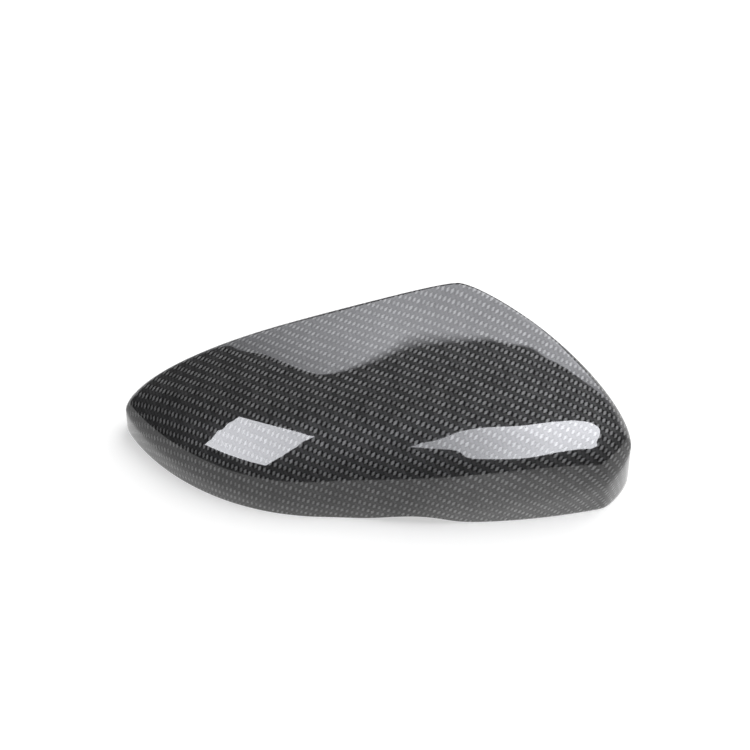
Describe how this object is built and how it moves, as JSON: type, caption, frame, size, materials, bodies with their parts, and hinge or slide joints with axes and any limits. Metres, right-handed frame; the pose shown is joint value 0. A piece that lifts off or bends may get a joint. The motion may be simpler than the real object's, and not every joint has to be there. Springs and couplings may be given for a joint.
{
  "type": "wing mirror cover",
  "caption": "Thin domed carbon-fibre cap that snaps over the outside of a car's wing mirror housing, pointed at one end and blunt at the other.",
  "frame": {"origin": "on the rim plane, at the middle of the rim outline's bounding box", "axes": "+X from the pointed tip to the blunt heel, +Y from the lower edge to the upper edge, +Z from the rim plane up through the crown"},
  "size_m": [0.233, 0.108, 0.0452],
  "materials": {
    "carbon_lacquer": "2 x 2 twill carbon fibre under clear gloss lacquer"
  },
  "bodies": {
    "root": {"mirror_cover": "carbon_lacquer"}
  },
  "joints": []
}
